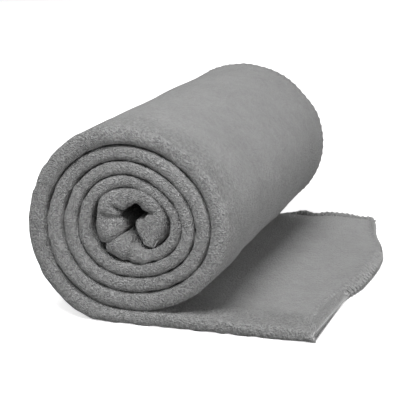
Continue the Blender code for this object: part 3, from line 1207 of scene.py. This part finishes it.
def fleece_material(finish: FleeceFinish) -> bpy.types.Material:
    """Brushed fleece: clumps of nap, finer fibres, a faint mottle where it was stroked, and cut edges with
    little relief.
    Painted light lightens the cut edges and the rough nap, and painted shade darkens the valleys under the
    stitches.

    Args:
        finish: Its colours and sizes.

    Returns:
        The material.
    """
    sketch = NodeSketch("grey_fleece")
    cloth = sketch.node("ShaderNodeAttribute", attribute_name="cloth").outputs["Vector"]
    raw = sketch.node("ShaderNodeAttribute", attribute_name="raw_edge").outputs["Fac"]
    # The nap attribute sets the bump and also the painted nap light below.
    nap = sketch.node("ShaderNodeAttribute", attribute_name="nap").outputs["Fac"]
    clumps = sketch.node("ShaderNodeTexNoise", {
        "Vector": cloth, "Scale": 1.0 / finish.clump_size, "Detail": 1.5, "Roughness": 0.6,
    }).outputs["Fac"]
    fibre = sketch.node("ShaderNodeTexNoise", {
        "Vector": cloth, "Scale": 1.0 / finish.fibre_size, "Detail": 2.0, "Roughness": 0.65,
    }).outputs["Fac"]
    mottle = sketch.node("ShaderNodeTexNoise", {
        "Vector": cloth, "Scale": 95.0, "Detail": 4.0, "Roughness": 0.62, "Distortion": 0.6,
    }).outputs["Fac"]
    stroke = sketch.node("ShaderNodeTexNoise", {
        "Vector": cloth, "Scale": 17.0, "Detail": 2.0, "Roughness": 0.5,
    }).outputs["Fac"]
    tufts = sketch.ramp(clumps, 0.30, 0.72, 0.0, 1.0)
    fine = sketch.ramp(fibre, 0.28, 0.72, 0.0, 1.0)
    height = sketch.math("ADD", sketch.math("MULTIPLY", tufts, 0.42), sketch.math("MULTIPLY", fine, 0.58))
    off_the_cut = sketch.ramp(raw, 0.0, 0.0018, 0.10, 1.0)
    depth = sketch.math("MULTIPLY", off_the_cut,
                        sketch.ramp(nap, 0.0, 1.0, finish.flat_relief, finish.rough_relief))
    contrast = sketch.ramp(nap, 0.05, 1.0, 0.15, 0.80)
    grain = sketch.math("MULTIPLY", sketch.math("SUBTRACT", height, 0.5),
                        sketch.math("MULTIPLY", contrast, off_the_cut))
    blotch = sketch.math("MULTIPLY", sketch.math("SUBTRACT", mottle, 0.5), 0.42)
    shade = sketch.math("MULTIPLY", sketch.math("SUBTRACT", stroke, 0.5), 0.26)
    tone = sketch.math("ADD", sketch.math("ADD", grain, blotch), sketch.math("ADD", shade, 1.0))
    # Painted light: the colour is up to 1.3 times lighter at the cut, fading out 4 mm in, less a faint
    # darker stripe 4.4 to 8.8 mm in from the cut.
    painted_cut_light = sketch.ramp(raw, 0.0, 0.004, 1.30, 1.0)
    inside = sketch.math("SUBTRACT", sketch.ramp(raw, 0.0044, 0.0064, 0.0, 0.06),
                         sketch.ramp(raw, 0.0064, 0.0088, 0.0, 0.06))
    painted_cut_light = sketch.math("SUBTRACT", painted_cut_light, inside)
    # Painted shade: the colour is darkened by up to 0.36 in the valleys under the stitches.
    painted_valley_shade = sketch.node("ShaderNodeAttribute", attribute_name="painted_valley_shade").outputs["Fac"]
    # Painted light: the colour is up to 1.34 times lighter where the nap stands rough.
    painted_nap_light = sketch.math("MULTIPLY", painted_cut_light, sketch.ramp(nap, 0.1, 1.0, 0.99, 1.34))
    shaded = sketch.math("SUBTRACT", painted_nap_light, sketch.math("MULTIPLY", painted_valley_shade, 0.36))
    grey = sketch.math("MULTIPLY", sketch.math("MULTIPLY", tone, shaded), finish.colour)
    colour = sketch.node("ShaderNodeCombineColor", {"Red": grey, "Green": grey, "Blue": grey})
    sketch.link(colour.outputs["Color"], "Base Color")
    bump = sketch.node("ShaderNodeBump", {"Height": height, "Distance": depth, "Strength": 1.0})
    sketch.link(bump.outputs["Normal"], "Normal")
    shader = sketch.shader
    shader.inputs["Roughness"].default_value = finish.roughness
    shader.inputs["Specular IOR Level"].default_value = 0.15
    shader.inputs["Sheen Weight"].default_value = finish.sheen
    shader.inputs["Sheen Roughness"].default_value = 0.6
    shader.inputs["Sheen Tint"].default_value = (1.0, 1.0, 1.0, 1.0)
    return sketch.material


def thread_material(finish: ThreadFinish) -> bpy.types.Material:
    """Spun thread with a fine twist.

    Args:
        finish: Its colour and twist.

    Returns:
        The material.
    """
    sketch = NodeSketch("overlock_thread")
    place = sketch.node("ShaderNodeTexCoord").outputs["Object"]
    strands = sketch.node("ShaderNodeTexNoise", {
        "Vector": place, "Scale": 1.0 / finish.twist, "Detail": 2.0,
    }).outputs["Fac"]
    grey = sketch.ramp(strands, 0.25, 0.75, 0.75 * finish.colour, 1.15 * finish.colour)
    colour = sketch.node("ShaderNodeCombineColor", {"Red": grey, "Green": grey, "Blue": grey})
    sketch.link(colour.outputs["Color"], "Base Color")
    bump = sketch.node("ShaderNodeBump", {"Height": strands, "Distance": 0.0002, "Strength": 0.7})
    sketch.link(bump.outputs["Normal"], "Normal")
    sketch.shader.inputs["Roughness"].default_value = finish.roughness
    return sketch.material


# ---- the surroundings ----------------------------------------------------------------
@dataclass(frozen=True)
class Lighting:
    """Strengths of the lights and tones of the sweep."""

    sky: float = 0.36
    horizon: float = 0.28
    floor_tone: float = 0.90
    floor_glow: float = 0.64
    floor_bounce: float = 0.40
    top_power: float = 24.2
    top_size: float = 0.80
    front_power: float = 1.5
    front_size: float = 1.0
    side_power: float = 16.0
    side_size: float = 0.8
    rear_power: float = 12.0
    rear_size: float = 1.2


class Studio:
    """A white sweep, a soft light overhead, fills from three sides, and the camera."""

    def __init__(self, lighting: Lighting) -> None:
        """Keeps the light settings.

        Args:
            lighting: Strengths and tones.
        """
        self.lighting = lighting

    def build(self) -> None:
        """Adds the floor, world, lights and camera to the scene."""
        self._view_transform()
        self._world()
        self._floor()
        self._area("overhead", (0.06, -0.92, 1.42), (0.0, 0.0, 0.05), self.lighting.top_power,
                   self.lighting.top_size)
        self._area("front_fill", (0.10, -1.95, 0.34), (0.05, 0.0, 0.05), self.lighting.front_power,
                   self.lighting.front_size)
        self._area("side_fill", (1.75, -0.45, 0.22), (0.05, 0.0, 0.05), self.lighting.side_power,
                   self.lighting.side_size)
        self._area("rear_fill", (-1.10, 1.60, 0.80), (0.0, 0.1, 0.05), self.lighting.rear_power,
                   self.lighting.rear_size)
        self._camera()

    def _view_transform(self) -> None:
        """Shows colours as they are, with no filmic curve."""
        scene = bpy.context.scene
        scene.view_settings.view_transform = "Standard"
        scene.view_settings.look = "None"

    def _world(self) -> None:
        """A surround that the camera sees as white, while it lights the throw more from above
        than from the horizon."""
        world = bpy.data.worlds.new("white_surround")
        world.use_nodes = True
        tree = world.node_tree
        tree.nodes.clear()
        output = tree.nodes.new("ShaderNodeOutputWorld")
        seen = tree.nodes.new("ShaderNodeBackground")
        seen.inputs["Strength"].default_value = 1.0
        seen.inputs["Color"].default_value = (1.0, 1.0, 1.0, 1.0)
        lit = tree.nodes.new("ShaderNodeBackground")
        lit.inputs["Strength"].default_value = self.lighting.sky
        mix = tree.nodes.new("ShaderNodeMixShader")
        path = tree.nodes.new("ShaderNodeLightPath")
        place = tree.nodes.new("ShaderNodeTexCoord")
        split = tree.nodes.new("ShaderNodeSeparateXYZ")
        ramp = tree.nodes.new("ShaderNodeMapRange")
        ramp.inputs["From Min"].default_value = -0.1
        ramp.inputs["From Max"].default_value = 0.9
        ramp.inputs["To Min"].default_value = self.lighting.horizon
        ramp.inputs["To Max"].default_value = 1.0
        tree.links.new(place.outputs["Generated"], split.inputs["Vector"])
        tree.links.new(split.outputs["Z"], ramp.inputs["Value"])
        tree.links.new(ramp.outputs["Result"], lit.inputs["Color"])
        tree.links.new(path.outputs["Is Camera Ray"], mix.inputs["Fac"])
        tree.links.new(lit.outputs["Background"], mix.inputs[1])
        tree.links.new(seen.outputs["Background"], mix.inputs[2])
        tree.links.new(mix.outputs["Shader"], output.inputs["Surface"])
        bpy.context.scene.world = world

    def _floor(self) -> None:
        """A wide white floor that is brighter to the camera than to the throw."""
        half = 30.0
        corners = np.array([(-half, -half, 0.0), (half, -half, 0.0), (half, half, 0.0), (-half, half, 0.0)])
        mesh = mesh_from_arrays("white_sweep", corners, np.array([[0, 1, 2, 3]]))
        sketch = NodeSketch("white_sweep")
        path = sketch.node("ShaderNodeLightPath").outputs["Is Camera Ray"]
        tone = sketch.ramp(path, 0.0, 1.0, self.lighting.floor_bounce, self.lighting.floor_tone)
        colour = sketch.node("ShaderNodeCombineColor", {"Red": tone, "Green": tone, "Blue": tone})
        sketch.link(colour.outputs["Color"], "Base Color")
        sketch.shader.inputs["Emission Color"].default_value = (1.0, 1.0, 1.0, 1.0)
        glow = sketch.math("MULTIPLY", path, self.lighting.floor_glow)
        sketch.link(glow, "Emission Strength")
        sketch.shader.inputs["Roughness"].default_value = 1.0
        sketch.shader.inputs["Specular IOR Level"].default_value = 0.0
        mesh.materials.append(sketch.material)
        floor = bpy.data.objects.new("white_sweep", mesh)
        bpy.context.scene.collection.objects.link(floor)

    def _area(self, name: str, place: Sequence[float], aim: Sequence[float], power: float,
              size: float) -> None:
        """Adds a round area light.

        Args:
            name: Its name.
            place: Where it stands.
            aim: Where it points.
            power: Its watts.
            size: Its diameter.
        """
        light = bpy.data.lights.new(name, "AREA")
        light.shape = "DISK"
        light.size = size
        light.energy = power
        lamp = bpy.data.objects.new(name, light)
        lamp.location = place
        direction = np.array(aim, float) - np.array(place, float)
        flat = math.hypot(direction[0], direction[1])
        lamp.rotation_euler = (
            math.atan2(flat, -direction[2]), 0.0, math.atan2(direction[1], direction[0]) - 0.5 * math.pi,
        )
        bpy.context.scene.collection.objects.link(lamp)

    def _camera(self) -> None:
        """Adds the camera, a long lens that looks down on the roll's near end."""
        camera = bpy.data.cameras.new("camera")
        camera.lens = 115.7
        camera.sensor_width = 36.0
        camera.clip_start = 0.01
        camera.clip_end = 200.0
        holder = bpy.data.objects.new("camera", camera)
        holder.location = (0.3219, -1.0133, 0.3200)
        holder.rotation_euler = (0.5 * math.pi - 0.25, 0.0, 0.298)
        bpy.context.scene.collection.objects.link(holder)
        bpy.context.scene.camera = holder


# ---- the throw -----------------------------------------------------------------------
class FleeceThrow:
    """The folded and rolled throw: its sheet and the thread on its raw edges."""

    BEND_LENGTH = 0.028

    def __init__(self, design: ThrowDesign) -> None:
        """Plans the throw.

        Args:
            design: Its sizes.
        """
        self.design = design
        self.winding = Winding(design)
        self.sheet = FleeceSheet(self.winding, FoldedSection(design), Softness())

    def build(self) -> None:
        """Builds every piece, gives it its finish, ties the end stitches to the bodies that carry them and
        hides the nodes the pieces replace.
        """
        sheet = self.sheet.build()
        sheet.data.materials.append(fleece_material(FleeceFinish()))
        thread = thread_material(ThreadFinish())
        stitching = EdgeStitching(self.sheet, StitchShape())
        stitches = {edge: stitching.build(edge) for edge in RawEdge}
        for piece in stitches.values():
            piece.data.materials.append(thread)
        self._tie(sheet, stitches)

    def _tie(self, sheet: bpy.types.Object, stitches: dict[RawEdge, bpy.types.Object]) -> None:
        """Ties the end stitches to the bodies that carry them, bakes the other pieces in place, and hides
        the model's nodes that the pieces replace.

        Args:
            sheet: The fleece sheet.
            stitches: The thread on each raw edge.
        """
        outer, inner = stitches[RawEdge.OUTER_SELVEDGE], stitches[RawEdge.INNER_SELVEDGE]
        for piece in (sheet, outer, inner):
            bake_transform(piece)
        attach(stitches[RawEdge.FREE_END], "tail")
        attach(stitches[RawEdge.CORE_END], "roll")
        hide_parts("fleece_roll", "fleece_tail")
        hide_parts("outer_selvedge_stitch_roll", "outer_selvedge_stitch_tail")
        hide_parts("inner_selvedge_stitch_roll", "inner_selvedge_stitch_tail")
        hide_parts("free_end_stitch")
        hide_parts("core_end_stitch")


def main() -> None:
    """Builds the throw and its surroundings."""
    logging.basicConfig(level=logging.INFO, format="%(name)s: %(message)s")
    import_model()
    FleeceThrow(ThrowDesign()).build()
    Studio(Lighting()).build()


if __name__ == "__main__":
    main()
